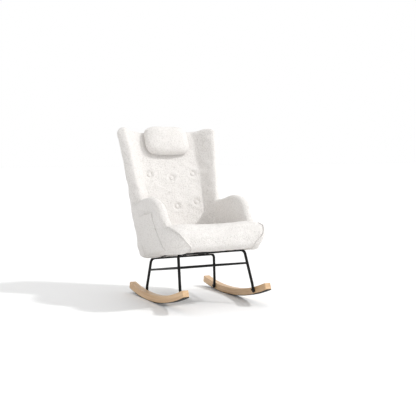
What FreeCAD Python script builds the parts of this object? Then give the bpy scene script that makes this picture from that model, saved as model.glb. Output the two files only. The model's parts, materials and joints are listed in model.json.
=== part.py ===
"""Upholstered wing-back rocking chair on curved wooden runners, with a sliding headrest pillow.

Frame while building: X across the chair, +Y to its rear, +Z up, the floor at Z = 0 and the
runners touching it at Y = 0. The last section moves the origin to the middle of the box's base.
"""
import FreeCAD
import Part
import math
import os

V = FreeCAD.Vector

# ---- runners: arcs of one circle that rolls on the floor ----
ROCK_RADIUS = 1356.0          # centre of rocking down to the underside of the grip strip
REACH_FRONT = 498.0           # floor contact to the front tip, level
REACH_REAR = 267.0            # floor contact to the rear tip, level
RUNNER_THICK = 37.0
RUNNER_WIDE = 38.0
RUNNER_INNER_X = 233.0        # inner face of each runner
RUNNER_ROUND = 4.0
STRIP_THICK = 4.0
STRIP_WIDE = 32.0

# ---- steel base ----
TUBE_R = 8.0
TUBE_WALL = 1.5
HOOP_BEND = 26.0
KNEE_BEND = 70.0
KNEE_RISE = 34.0              # the leg runs flat against the runner for this height
FRONT_FOOT_Y = -374.0
REAR_FOOT_Y = 100.0
HOOP_HALF_WIDTH = 207.0       # leg axis at the hoop's upper corner
FOOT_BELOW_BOLT = 9.0
BAR_R = 6.0                   # stretchers and cross rails
FRONT_BAR_Z = 226.0
REAR_BAR_Z = 160.0
FOOT_BOLT_DEPTH = 15.0        # bolt centre below the runner's top face

# ---- fasteners ----
M6_R = 3.0
M8_R = 4.0
HOLE_PLAY = 0.3
THREAD_PLAY = 0.05
INSERT_WALL = 2.0
INSERT_LONG = 24.0

# ---- seat: a plane that falls to the rear ----
SEAT_FRONT_Y = -302.0         # axis of the front hoop's top rail
SEAT_REAR_Y = 70.0            # axis of the rear hoop's top rail
SEAT_FRONT_Z = 307.0          # underside of the seat frame over the front rail
SEAT_REAR_Z = 238.0           # and over the rear rail
RAIL_TALL = 58.0
RAIL_THICK = 24.0
SIDE_X = 298.0                # outer face of the arms at ARM_TOP_Z
RING_HALF_WIDTH = SIDE_X - 95.0
RAIL_SET_IN = 12.0            # hoop rail axis to the near face of the timber rail
BELLY_Z = 241.0               # lowest line of the upholstery
WEB_THICK = 2.0
WEB_WIDE = 46.0
WEB_COUNT = 5
TAB_WIDE = 44.0
TAB_THICK = 4.0
TAB_X = 150.0
DUST_THICK = 1.2
CUSHION_FRONT_Z = 455.0       # top of the front roll's two ends
PAD_BELOW = 12.0              # the pad lies this far under CUSHION_FRONT_Z, as the roll dips
CUSHION_FALL = 0.134          # drop of the seat pad's top per millimetre to the rear
ROLL_BACK_Y = -300.0          # joint between the seat pad, the arms and the front roll

# ---- back: a front plane and a steeper rear plane ----
BACK_FRONT_Y = 232.0          # front plane at BACK_REF_Z
BACK_FRONT_LEAN = 0.44
BACK_REF_Z = 696.0
BACK_REAR_Y = 180.0           # rear plane at BELLY_Z
BACK_REAR_LEAN = 0.30
BACK_HALF_WIDTH = SIDE_X - 111.0      # joint between back pad and wings
REAR_PANEL = 8.0
POST_DEEP_LOW = 58.0          # depth of the back's timber frame at the bottom
POST_DEEP_TOP = 22.0          # and at the top rail
POST_WIDE = 25.0
TOP_MID_Z = 960.0             # the top edge dips to this in the middle
TOP_EAR_Z = TOP_MID_Z + 40.0  # and rises to this near the ears
TOP_RAIL_Z = TOP_MID_Z - 55.0
LOW_RAIL_Z = CUSHION_FRONT_Z - 25.0
BACK_RAIL_TALL = 50.0
BACK_WEBS = 5
PAD_FLOOR = 22.0              # foam under the hollow between the posts
EAR_X = SIDE_X - 16.0
EAR_ROUND = 62.0
EAR_CUT = (0.72, 0.25)        # shares of EAR_ROUND, out and down, to the middle of the round
BUTTON_R = 14.0
BUTTON_PROUD = 3.0
BUTTON_SUNK = 6.0
BUTTON_ROWS = (               # side and middle height as shares of the back, inset from its edge
    (0.517, 0.477, 42.0),
    (0.178, 0.139, 50.0),
)
BACK_BOLT_RISE = (16.0, 40.0)

# ---- sides: wings above, arms in front ----
ARM_TOP_Z = 583.0             # height where the wing's leading edge meets the arm
SIDE_LEAN = 0.13              # outward lean of the arm walls
ARM_THICK = 50.0
WING_EDGE_Y = 164.0           # outer leading edge at ARM_TOP_Z
WING_LEAN = 0.30
WING_SKEW = 52.0              # how far the inner leading edge lies in front of the outer one
WING_TOP_Z = TOP_MID_Z + 45.0
WING_SPREAD = 48.0            # how far the outer edge runs outward from the arm to the top
WING_SWEEP = 126.0            # and how far it runs to the rear
WING_TOP_THICK = (42.0, 30.0)     # inward and forward from the outer to the inner edge at the top
WING_CORNERS = ((1.0, 66.0), (20.0, 58.0), (80.0, 60.0))      # rear corner: inset, behind the edge
ARM_PEAK_Y = -90.0
ARM_PEAK_Z = 597.0
ARM_REAR_Z = 505.0            # arm top ARM_TUCK behind the leading edge
ARM_TUCK = 60.0
ARM_CROWN = 16.0              # how far the arm top bows above a straight line to there
ARM_SHOULDER = (57.0, 57.0)   # behind ROLL_BACK_Y and above the cushion: end of the arm's round
ARM_ROUND_MID = (109.0, 24.0)     # behind ROLL_BACK_Y and below the peak: middle of that round
ARM_NOTCH = 17.0              # arm's front corner below the cushion's top
ARM_ROUND = 16.0
BOARD_THICK = 15.0
BOARD_SET_IN = 18.0           # arm's outer face to the plywood board
ARM_BOLT_U = (110.0, 250.0)   # along the seat plane, behind the front hoop rail
ARM_BOLT_W = 32.0
BOARD_FRONT = 22.0            # behind ROLL_BACK_Y
BOARD_TOP = (                 # (behind ROLL_BACK_Y, below the arm's peak)
    (22.0, 167.0), (78.0, 92.0), (135.0, 42.0), (210.0, 29.0), (280.0, 37.0),
)

# ---- side pockets ----
POCKET_GAP = 9.0
POCKET_CLOTH = 2.5
POCKET_SEAM = 7.0
POCKET_MOUTH = ((102.0, 15.0), (302.0, 59.0))     # (ahead of WING_EDGE_Y, above the cushion)
POCKET_FRONT = (              # the curved front seam: (ahead of WING_EDGE_Y, below the cushion)
    (329.0, 5.0), (360.0, 58.0), (400.0, 109.0), (440.0, 137.0),
)
POCKET_HEM = 8.0              # above the belly
POCKET_BASE = 118.0           # rear lower corner ahead of WING_EDGE_Y

# ---- front roll ----
# each row: depth ahead of the joint, then four points up one side as (inset from the arm's outer
# face, share of the height from belly to cushion), then the share for the middle of the top
ROLL_ROWS = (
    (0.0, ((2, 0.0), (0, 0.49), (-1, 0.89), (30, 0.99)), 0.89),
    (45.0, ((14, 0.04), (-4, 0.54), (-4, 0.90), (29, 1.02)), 0.90),
    (100.0, ((38, 0.10), (4, 0.54), (0, 0.84), (29, 0.95)), 0.85),
    (140.0, ((66, 0.26), (34, 0.49), (25, 0.66), (55, 0.77)), 0.67),
)

# ---- headrest ----
PILLOW_WIDE = 300.0
PILLOW_TALL = 180.0
PILLOW_THICK = 64.0
PILLOW_ROUND = 26.0
PILLOW_LOW_Z = TOP_MID_Z - 141.0
STRAP_WIDE = 60.0
STRAP_THICK = 2.0
STRAP_PLAY = 0.6
SLIDE_PLAY = 0.3
STRAP_FRONT_Z = TOP_MID_Z - 88.0
STRAP_REAR_Z = TOP_MID_Z - 230.0
POUCH_WIDE = 170.0
POUCH_TALL = 96.0
POUCH_THICK = 20.0
POUCH_LOW_Z = TOP_MID_Z - 190.0
BAR_WIDE = 120.0
BAR_TALL = 60.0
BAR_THICK = 6.0

nodes = {}


# ---------------------------------------------------------------- helpers
def mirrored(shape):
    return shape.mirror(V(0, 0, 0), V(1, 0, 0))


def both_sides(shape):
    return Part.makeCompound([shape, mirrored(shape)])


def add_pair(name, shape):
    """Keep a shape made on the +X side, and its mirror image, as two nodes."""
    nodes[name + "_right"] = shape
    nodes[name + "_left"] = mirrored(shape)


def polygon_face(points):
    return Part.Face(Part.makePolygon(list(points) + [points[0]]))


def side_prism(outline, x_low, x_high):
    """Extrude an outline of (y, z) points along X."""
    face = polygon_face([V(x_low, y, z) for y, z in outline])
    return face.extrude(V(x_high - x_low, 0, 0))


def solid_rod(start, end, radius):
    return Part.makeCylinder(radius, (end - start).Length, start, end - start)


def rounded_path(points, radii):
    """Straight runs joined by tangent arcs, one radius for each inner point."""
    edges = []
    start = points[0]
    for here, before, after, radius in zip(points[1:-1], points, points[2:], radii):
        to_before = (before - here).normalize()
        to_after = (after - here).normalize()
        half = to_before.getAngle(to_after) / 2
        trim = radius / math.tan(half)
        bisector = (to_before + to_after).normalize()
        middle = here + bisector * (radius / math.sin(half) - radius)
        first, last = here + to_before * trim, here + to_after * trim
        edges += [Part.makeLine(start, first), Part.Arc(first, middle, last).toShape()]
        start = last
    edges.append(Part.makeLine(start, points[-1]))
    return Part.Wire(edges)


def swept_round(path, radius):
    start = path.Edges[0].Vertexes[0].Point
    direction = path.Edges[0].tangentAt(path.Edges[0].FirstParameter)
    ring = Part.Wire(Part.makeCircle(radius, start, direction))
    return path.makePipeShell([ring], True, False)


# ---------------------------------------------------------------- runners
def on_runner(radius, y):
    """Height of a runner circle over the point y."""
    return ROCK_RADIUS - math.sqrt(radius ** 2 - y ** 2)


def runner_band(outer, thick, x_low, wide):
    """A curved bar between two circles about the rocking centre."""
    front = -math.asin(REACH_FRONT / ROCK_RADIUS)
    rear = math.asin(REACH_REAR / ROCK_RADIUS)

    def at(radius, angle):
        return V(x_low, radius * math.sin(angle), ROCK_RADIUS - radius * math.cos(angle))

    middle = (front + rear) / 2
    inner = outer - thick
    edges = [
        Part.Arc(at(outer, front), at(outer, middle), at(outer, rear)).toShape(),
        Part.makeLine(at(outer, rear), at(inner, rear)),
        Part.Arc(at(inner, rear), at(inner, middle), at(inner, front)).toShape(),
        Part.makeLine(at(inner, front), at(outer, front)),
    ]
    return Part.Face(Part.Wire(edges)).extrude(V(wide, 0, 0))


wood_radius = ROCK_RADIUS - STRIP_THICK
runner = runner_band(wood_radius, RUNNER_THICK, RUNNER_INNER_X, RUNNER_WIDE)
end_edges = [e for e in runner.Edges
             if abs(e.Length - RUNNER_WIDE) < 0.01 or abs(e.Length - RUNNER_THICK) < 0.01]
runner = runner.makeFillet(RUNNER_ROUND, end_edges)
strip_x = RUNNER_INNER_X + (RUNNER_WIDE - STRIP_WIDE) / 2
grip_strip = runner_band(ROCK_RADIUS, STRIP_THICK, strip_x, STRIP_WIDE)

# ---------------------------------------------------------------- seat plane
seat_fall = (SEAT_FRONT_Z - SEAT_REAR_Z) / (SEAT_REAR_Y - SEAT_FRONT_Y)
seat_angle = math.degrees(math.atan(seat_fall))
seat_long = math.hypot(SEAT_REAR_Y - SEAT_FRONT_Y, SEAT_FRONT_Z - SEAT_REAR_Z)


def belly(y):
    """Height of the seat frame's underside over y."""
    return SEAT_FRONT_Z - seat_fall * (y - SEAT_FRONT_Y)


def on_seat(shape):
    """Place a shape from seat coordinates: Y along the plane, Z square to it."""
    shape = shape.copy()
    shape.rotate(V(0, 0, 0), V(1, 0, 0), -seat_angle)
    shape.translate(V(0, SEAT_FRONT_Y, SEAT_FRONT_Z))
    return shape


def seat_box(x_low, x_high, u_low, u_high, w_low, w_high):
    corner = V(x_low, u_low, w_low)
    return on_seat(Part.makeBox(x_high - x_low, u_high - u_low, w_high - w_low, corner))


def seat_point(x, u, w):
    point = V(x, u, w)
    turn = FreeCAD.Rotation(V(1, 0, 0), -seat_angle)
    return turn.multVec(point) + V(0, SEAT_FRONT_Y, SEAT_FRONT_Z)


# ---------------------------------------------------------------- steel base
class Hoop:
    """An inverted U of tube: two feet on the runners and a rail under the seat."""

    def __init__(self, foot_y, top):
        bolt_radius = wood_radius - RUNNER_THICK + FOOT_BOLT_DEPTH
        foot_x = RUNNER_INNER_X - TUBE_R
        self.bolt = V(foot_x, foot_y, on_runner(bolt_radius, foot_y))
        self.corner = V(HOOP_HALF_WIDTH, top.y, top.z)
        lean = (top.y - foot_y) / (top.z - self.bolt.z)
        self.foot = self.bolt - V(0, lean, 1) * FOOT_BELOW_BOLT
        self.knee = self.bolt + V(0, lean, 1) * KNEE_RISE
        half = [self.foot, self.knee, self.corner]
        points = half + [V(-p.x, p.y, p.z) for p in reversed(half)]
        radii = [KNEE_BEND, HOOP_BEND, HOOP_BEND, KNEE_BEND]
        self.path = rounded_path(points, radii)
        self.outer = swept_round(self.path, TUBE_R)

    def tube(self):
        bore = swept_round(self.path, TUBE_R - TUBE_WALL)
        hole = Part.makeCylinder(M6_R + HOLE_PLAY, 4 * TUBE_R,
                                 self.bolt - V(2 * TUBE_R, 0, 0), V(1, 0, 0))
        return self.outer.cut(bore).cut(both_sides(hole))

    def at(self, z):
        share = (z - self.knee.z) / (self.corner.z - self.knee.z)
        return self.knee + (self.corner - self.knee) * share

    def cap(self):
        """A plug with a domed end, pushed into the open foot."""
        up = (self.knee - self.foot).normalize()
        dome = Part.makeSphere(TUBE_R, self.foot).common(
            Part.makeCylinder(2 * TUBE_R, 2 * TUBE_R, self.foot, up * -1))
        plug = Part.makeCylinder(TUBE_R - TUBE_WALL, FOOT_BELOW_BOLT - M6_R - 1,
                                 self.foot, up)
        return dome.fuse(plug).removeSplitter()


tube_drop = TUBE_R / math.cos(math.radians(seat_angle))
front_hoop = Hoop(FRONT_FOOT_Y, V(0, SEAT_FRONT_Y, SEAT_FRONT_Z - tube_drop))
rear_hoop = Hoop(REAR_FOOT_Y, V(0, SEAT_REAR_Y, SEAT_REAR_Z - tube_drop))
hoops = (front_hoop, rear_hoop)
nodes["front_hoop"] = front_hoop.tube()
nodes["rear_hoop"] = rear_hoop.tube()


def cross_rail(hoop, z):
    end = hoop.at(z)
    return solid_rod(V(-end.x, end.y, end.z), end, BAR_R).cut(hoop.outer)


front_cross = cross_rail(front_hoop, FRONT_BAR_Z)
rear_cross = cross_rail(rear_hoop, REAR_BAR_Z)
nodes["front_cross_rail"] = front_cross
nodes["rear_cross_rail"] = rear_cross
stretcher = solid_rod(front_hoop.at(FRONT_BAR_Z), rear_hoop.at(REAR_BAR_Z), BAR_R)
for neighbour in (front_hoop.outer, rear_hoop.outer, front_cross, rear_cross):
    stretcher = stretcher.cut(neighbour)
add_pair("side_stretcher", stretcher)
nodes["foot_caps"] = Part.makeCompound([both_sides(h.cap()) for h in hoops])


def pan_bolt(head_face, direction, radius, grip):
    """A bolt whose head rests at head_face and whose shank runs along direction."""
    head = Part.makeCylinder(2 * radius, 1.2 * radius, head_face, direction * -1)
    rim = [e for e in head.Edges if e.Length > radius and
           abs((e.CenterOfMass - head_face).Length - 1.2 * radius) < 0.01]
    head = head.makeFillet(0.6 * radius, rim)
    return head.fuse(Part.makeCylinder(radius, grip, head_face, direction)).removeSplitter()


def insert_nut(mouth, direction, radius):
    sleeve = Part.makeCylinder(radius + INSERT_WALL, INSERT_LONG, mouth, direction)
    return sleeve.cut(Part.makeCylinder(radius + THREAD_PLAY, INSERT_LONG, mouth, direction))


def insert_hole(mouth, direction, radius):
    return Part.makeCylinder(radius + INSERT_WALL, INSERT_LONG, mouth, direction)


outward = V(1, 0, 0)
foot_bolts, foot_inserts = [], []
for hoop in hoops:
    head_face = hoop.bolt - outward * TUBE_R
    mouth = hoop.bolt + outward * TUBE_R
    foot_bolts.append(both_sides(pan_bolt(head_face, outward, M6_R, 2 * TUBE_R + INSERT_LONG - 2)))
    foot_inserts.append(both_sides(insert_nut(mouth, outward, M6_R)))
    runner = runner.cut(insert_hole(mouth, outward, M6_R))
add_pair("rocker", runner)
add_pair("grip_strip", grip_strip)
nodes["foot_bolts"] = Part.makeCompound(foot_bolts)
nodes["foot_inserts"] = Part.makeCompound(foot_inserts)

# ---------------------------------------------------------------- seat frame
side_inner = RING_HALF_WIDTH - RAIL_THICK - 1
front_rail_u = (RAIL_SET_IN, RAIL_SET_IN + RAIL_THICK)
rear_rail_u = (seat_long - RAIL_SET_IN - RAIL_THICK, seat_long - RAIL_SET_IN)
post_x = (side_inner - POST_WIDE, side_inner)


def rear_plane(z, inset=0.0):
    """Depth of the back's rear plane at z, moved square to itself into the chair."""
    return BACK_REAR_Y + BACK_REAR_LEAN * (z - BELLY_Z) - inset * math.hypot(1, BACK_REAR_LEAN)


def front_plane(z, proud=0.0):
    """Depth of the back's front plane at z, moved square to itself out of the pad."""
    return BACK_FRONT_Y + BACK_FRONT_LEAN * (z - BACK_REF_Z) - proud * math.hypot(1, BACK_FRONT_LEAN)


front_rail = seat_box(-RING_HALF_WIDTH, RING_HALF_WIDTH, *front_rail_u, 0, RAIL_TALL)
rear_rail = seat_box(-side_inner, side_inner, *rear_rail_u, 0, RAIL_TALL)
side_rail = seat_box(side_inner, RING_HALF_WIDTH, front_rail_u[1], 2 * seat_long, 0, RAIL_TALL)
above_belly = Part.makeBox(2000, 2000, 2000, V(-1000, -1000, BELLY_Z))
past_back = side_prism([(rear_plane(z, REAR_PANEL), z) for z in (0, 600)] + [(900, 600), (900, 0)],
                       -400, 400)
side_rail = side_rail.common(above_belly).cut(past_back)

tab_bolt_u = (front_rail_u[0] + RAIL_THICK / 2, rear_rail_u[1] - RAIL_THICK / 2)
seat_up = (seat_point(0, 0, 1) - seat_point(0, 0, 0)).normalize()
tabs, seat_bolts, tee_nuts = [], [], []
tab_ends = ((TUBE_R - 1, front_rail_u[1]), (rear_rail_u[0], seat_long - TUBE_R + 1))
for bolt_u, hoop, tab_u in zip(tab_bolt_u, hoops, tab_ends):
    tab = seat_box(TAB_X - TAB_WIDE / 2, TAB_X + TAB_WIDE / 2, *tab_u, -TAB_THICK, 0)
    tab = tab.cut(hoop.outer)
    under = seat_point(TAB_X, bolt_u, -TAB_THICK)
    hole = Part.makeCylinder(M8_R + HOLE_PLAY, 3 * TAB_THICK, under - seat_up * TAB_THICK, seat_up)
    tabs.append(both_sides(tab.cut(hole)))
    seat_bolts.append(both_sides(pan_bolt(under, seat_up, M8_R, TAB_THICK + INSERT_LONG - 2)))
    mouth = seat_point(TAB_X, bolt_u, 0)
    tee_nuts.append(both_sides(insert_nut(mouth, seat_up, M8_R)))
    pocket = both_sides(insert_hole(mouth, seat_up, M8_R))
    front_rail = front_rail.cut(pocket)
    rear_rail = rear_rail.cut(pocket)
nodes["seat_tabs"] = Part.makeCompound(tabs)
nodes["seat_bolts"] = Part.makeCompound(seat_bolts)
nodes["seat_insert_nuts"] = Part.makeCompound(tee_nuts)
nodes["seat_front_rail"] = front_rail
nodes["seat_rear_rail"] = rear_rail

web_pitch = (rear_rail_u[0] - front_rail_u[1]) / WEB_COUNT
webs = []
for index in range(WEB_COUNT):
    middle = front_rail_u[1] + web_pitch * (index + 0.5)
    webs.append(seat_box(-RING_HALF_WIDTH, RING_HALF_WIDTH, middle - WEB_WIDE / 2,
                         middle + WEB_WIDE / 2, RAIL_TALL, RAIL_TALL + WEB_THICK))
nodes["seat_webbing"] = Part.makeCompound(webs)
dust_u = (front_rail_u[1] + 4, rear_rail_u[0] - 4)
nodes["dust_cover"] = seat_box(-RING_HALF_WIDTH + 3, RING_HALF_WIDTH - 3, *dust_u, -DUST_THICK, 0)
frame_space = seat_box(-RING_HALF_WIDTH, RING_HALF_WIDTH, -60, rear_rail_u[1],
                       -60, RAIL_TALL + WEB_THICK)

# ---------------------------------------------------------------- sides
def outer_x(z):
    return SIDE_X + SIDE_LEAN * (z - ARM_TOP_Z)


def side_slab(inner_offset, outer_offset, z_low=BELLY_Z - 60, z_high=ARM_PEAK_Z + 40):
    """The leaning sheet of space between two offsets from the side's outer face."""
    corners = [V(outer_x(z) + offset, -600, z) for offset, z in
               ((inner_offset, z_low), (outer_offset, z_low),
                (outer_offset, z_high), (inner_offset, z_high))]
    return polygon_face(corners).extrude(V(0, 1200, 0))


def edge_y(z):
    """Depth of the wing's outer leading edge."""
    return WING_EDGE_Y + WING_LEAN * (z - ARM_TOP_Z)


def side_outline():
    """The arm's side view, running past the wing's leading edge at the rear."""
    rear_y = WING_EDGE_Y + ARM_TUCK
    shoulder = V(0, ROLL_BACK_Y + ARM_SHOULDER[0], CUSHION_FRONT_Z + ARM_SHOULDER[1])
    arc_middle = V(0, ROLL_BACK_Y + ARM_ROUND_MID[0], ARM_PEAK_Z - ARM_ROUND_MID[1])
    peak = V(0, ARM_PEAK_Y, ARM_PEAK_Z)
    rise_middle = V(0, (ARM_PEAK_Y + rear_y) / 2, (ARM_PEAK_Z + ARM_REAR_Z) / 2 + ARM_CROWN)
    corners = [V(0, ROLL_BACK_Y, CUSHION_FRONT_Z - ARM_NOTCH),
               V(0, ROLL_BACK_Y, belly(ROLL_BACK_Y)),
               V(0, rear_y, belly(rear_y)), V(0, rear_y, ARM_REAR_Z)]
    lines = [Part.makeLine(a, b) for a, b in zip([shoulder] + corners, corners)]
    rise = Part.Arc(corners[-1], rise_middle, peak).toShape()
    return Part.Wire([Part.Arc(peak, arc_middle, shoulder).toShape()] + lines + [rise])


lead_outer = V(SIDE_X, WING_EDGE_Y, ARM_TOP_Z)
lead_inner = V(SIDE_X - ARM_THICK, WING_EDGE_Y - WING_SKEW, ARM_TOP_Z)
lead_run = V(SIDE_LEAN, WING_LEAN, 1)


def behind_lead(shift=0.0):
    """A block filling everything behind the wing's leading face."""
    across = (lead_outer - lead_inner).normalize()
    start = lead_inner - across * 400 - lead_run * 600 - V(0, shift, 0)
    corners = [start, start + across * 900, start + across * 900 + lead_run * 1200,
               start + lead_run * 1200]
    return polygon_face(corners).extrude(V(-400, 500, 0))


arm_sheet = Part.Face(side_outline()).extrude(V(420, 0, 0))
arm = arm_sheet.common(side_slab(-ARM_THICK, 0)).cut(behind_lead())
arm = arm.common(above_belly)


def on_top_or_front(edge):
    """Long edges of the arm's top and front, where the outline meets the two side faces."""
    middle = edge.valueAt((edge.FirstParameter + edge.LastParameter) / 2)
    crossways = abs(edge.BoundBox.YLength) < 1 and edge.BoundBox.XLength > ARM_THICK / 2
    over = middle.z > CUSHION_FRONT_Z
    behind = edge.BoundBox.YLength > ARM_THICK / 2 and edge.BoundBox.XLength > 0.9 * ARM_THICK
    return over and not crossways and not behind


arm_edges = [e for e in arm.Edges if on_top_or_front(e)]
arm = arm.makeFillet(ARM_ROUND, arm_edges)


def board_outline():
    """Plywood side board, inset from the arm's outline and open at the underside."""
    front_y = ROLL_BACK_Y + BOARD_FRONT
    rear_low = edge_y(BELLY_Z) - WING_SKEW - BOARD_FRONT
    rear_high = edge_y(ARM_TOP_Z) - WING_SKEW - 2 * BOARD_FRONT
    top = [(ROLL_BACK_Y + behind, ARM_PEAK_Z - below) for behind, below in BOARD_TOP]
    return [(front_y, belly(front_y))] + top + [(rear_high, ARM_REAR_Z), (rear_low, belly(rear_low))]


board_space = side_prism(board_outline(), 0, 2 * SIDE_X)
arm_board = board_space.common(side_slab(-BOARD_SET_IN - BOARD_THICK, -BOARD_SET_IN))
arm = arm.cut(arm_board)

arm_bolts = []
for bolt_u in ARM_BOLT_U:
    head_face = seat_point(side_inner, bolt_u, ARM_BOLT_W)
    reach = outer_x(head_face.z) - BOARD_SET_IN - 2 - side_inner
    arm_bolts.append(both_sides(pan_bolt(head_face, outward, M8_R, reach)))
    hole = Part.makeCylinder(M8_R + HOLE_PLAY, reach + 2, head_face - outward, outward)
    side_rail = side_rail.cut(hole)
    arm = arm.cut(hole)
    arm_board = arm_board.cut(hole)
nodes["arm_bolts"] = Part.makeCompound(arm_bolts)
add_pair("arm_board", arm_board)
add_pair("arm", arm)


def pocket_outline(seam, mouth_rise):
    """The pocket's side view, drawn in by a seam and carried up past its mouth."""
    mouth = [(WING_EDGE_Y - ahead + inset, CUSHION_FRONT_Z + above + mouth_rise)
             for (ahead, above), inset in zip(POCKET_MOUTH, (-seam, seam))]
    front = [(WING_EDGE_Y - ahead + seam, CUSHION_FRONT_Z - below + seam / 2)
             for ahead, below in POCKET_FRONT]
    base_y = WING_EDGE_Y - POCKET_BASE - seam
    return mouth + front + [(base_y, belly(base_y) + POCKET_HEM + seam)]


pocket_solid = side_prism(pocket_outline(0, 0), 0, 2 * SIDE_X)
pocket_solid = pocket_solid.common(side_slab(0, POCKET_GAP + POCKET_CLOTH))
pocket_room = side_prism(pocket_outline(POCKET_SEAM, 2 * POCKET_SEAM), 0, 2 * SIDE_X)
pocket_room = pocket_room.common(side_slab(-1, POCKET_GAP))
add_pair("side_pocket", pocket_solid.cut(pocket_room))

# ---------------------------------------------------------------- back
def top_profile():
    """Everything under the chair's top edge: a dip in the middle and rounded ears."""
    def at(x, z):
        return V(x, -TOP_MID_Z, z)

    side, low, shoulder = 2 * SIDE_X, 0, TOP_EAR_Z - 2 * EAR_ROUND
    turn_z = TOP_EAR_Z - EAR_ROUND * EAR_CUT[1]
    drop_z = TOP_EAR_Z - EAR_ROUND
    turn_x, drop_x = EAR_X + EAR_ROUND * EAR_CUT[0], EAR_X + EAR_ROUND
    corners = [at(drop_x, drop_z), at(side, shoulder), at(side, low),
               at(-side, low), at(-side, shoulder), at(-drop_x, drop_z)]
    edges = [Part.Arc(at(-EAR_X, TOP_EAR_Z), at(0, TOP_MID_Z), at(EAR_X, TOP_EAR_Z)).toShape(),
             Part.Arc(at(EAR_X, TOP_EAR_Z), at(turn_x, turn_z), corners[0]).toShape()]
    edges += [Part.makeLine(a, b) for a, b in zip(corners, corners[1:])]
    edges.append(Part.Arc(corners[-1], at(-turn_x, turn_z), at(-EAR_X, TOP_EAR_Z)).toShape())
    return Part.Face(Part.Wire(edges)).extrude(V(0, 2 * TOP_MID_Z, 0))


under_top = top_profile()
back_block = side_prism([(front_plane(BELLY_Z), BELLY_Z), (front_plane(WING_TOP_Z), WING_TOP_Z),
                         (rear_plane(WING_TOP_Z, REAR_PANEL), WING_TOP_Z),
                         (rear_plane(BELLY_Z, REAR_PANEL), BELLY_Z)],
                        -BACK_HALF_WIDTH, BACK_HALF_WIDTH).common(under_top)
rear_panel = side_prism([(rear_plane(BELLY_Z, REAR_PANEL), BELLY_Z),
                         (rear_plane(WING_TOP_Z, REAR_PANEL), WING_TOP_Z),
                         (rear_plane(WING_TOP_Z), WING_TOP_Z), (rear_plane(BELLY_Z), BELLY_Z)],
                        -BACK_HALF_WIDTH, BACK_HALF_WIDTH).common(under_top)


def panel_face(z):
    return REAR_PANEL


def frame_face(z):
    share = (z - BELLY_Z) / (TOP_RAIL_Z - BELLY_Z)
    return REAR_PANEL + POST_DEEP_LOW + (POST_DEEP_TOP - POST_DEEP_LOW) * share


def web_face(z):
    return frame_face(z) + WEB_THICK


def back_layer(x_low, x_high, z_low, z_high, near=panel_face, far=frame_face):
    """A board behind the back pad, between two insets from the rear plane."""
    return side_prism([(rear_plane(z_low, far(z_low)), z_low),
                       (rear_plane(z_high, far(z_high)), z_high),
                       (rear_plane(z_high, near(z_high)), z_high),
                       (rear_plane(z_low, near(z_low)), z_low)], x_low, x_high)


def back_rail(z):
    return back_layer(-post_x[0], post_x[0], z - BACK_RAIL_TALL / 2, z + BACK_RAIL_TALL / 2)


post = back_layer(*post_x, BELLY_Z, TOP_RAIL_Z + BACK_RAIL_TALL / 2)
top_rail = back_rail(TOP_RAIL_Z)
low_rail = back_rail(LOW_RAIL_Z)
hollow = back_layer(-post_x[0], post_x[0], BELLY_Z + PAD_FLOOR, TOP_RAIL_Z)
back_web_pitch = (TOP_RAIL_Z - LOW_RAIL_Z - BACK_RAIL_TALL) / BACK_WEBS
back_webs = []
for index in range(BACK_WEBS):
    middle = LOW_RAIL_Z + BACK_RAIL_TALL / 2 + back_web_pitch * (index + 0.5)
    back_webs.append(back_layer(-post_x[1], post_x[1], middle - WEB_WIDE / 2,
                                middle + WEB_WIDE / 2, frame_face, web_face))

lean_back = V(0, BACK_FRONT_LEAN, 1).normalize()
forward = V(0, -1, BACK_FRONT_LEAN).normalize()
buttons = []
for side_share, middle_share, inset in BUTTON_ROWS:
    side_x = BACK_HALF_WIDTH - inset
    side_z, middle_z = (CUSHION_FRONT_Z + share * (TOP_MID_Z - CUSHION_FRONT_Z)
                        for share in (side_share, middle_share))
    for x, z in ((-side_x, side_z), (0, middle_z), (side_x, side_z)):
        seat_of_button = V(x, front_plane(z), z) - forward * BUTTON_SUNK
        disc = Part.makeCylinder(BUTTON_R, BUTTON_SUNK + BUTTON_PROUD, seat_of_button, forward)
        front_rim = [e for e in disc.Edges
                     if (e.CenterOfMass - seat_of_button).dot(forward) > BUTTON_SUNK
                     and e.Length > 4 * BUTTON_R]
        buttons.append(disc.makeFillet(BUTTON_PROUD - 0.5, front_rim))

back_bolt_long = 2 * POST_WIDE - 4
back_bolts, bolt_rooms = [], []
for rise in BACK_BOLT_RISE:
    z = BELLY_Z + rise
    head_face = V(RING_HALF_WIDTH, rear_plane(z, REAR_PANEL + POST_DEEP_TOP / 2), z)
    hole = Part.makeCylinder(M6_R + HOLE_PLAY, back_bolt_long + 1, head_face, outward * -1)
    back_bolts.append(both_sides(pan_bolt(head_face, outward * -1, M6_R, back_bolt_long)))
    bolt_rooms += [hole, Part.makeCylinder(2 * M6_R + HOLE_PLAY, 2 * M6_R, head_face, outward)]
    side_rail = side_rail.cut(hole)
    post = post.cut(hole)
nodes["back_bolts"] = Part.makeCompound(back_bolts)
add_pair("seat_side_rail", side_rail)
add_pair("back_post", post)
nodes["back_top_rail"] = top_rail
nodes["back_low_rail"] = low_rail
nodes["back_webbing"] = Part.makeCompound(back_webs)
nodes["rear_panel"] = rear_panel
nodes["tufting_buttons"] = Part.makeCompound(buttons)

back_pad = back_block.cut(frame_space)
for inner in [nodes["seat_side_rail_left"], nodes["seat_side_rail_right"], nodes["back_post_left"],
              nodes["back_post_right"], top_rail, low_rail, hollow] + back_webs + buttons:
    back_pad = back_pad.cut(inner)
for room in bolt_rooms:
    back_pad = back_pad.cut(room).cut(mirrored(room))
nodes["back_pad"] = back_pad


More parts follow.
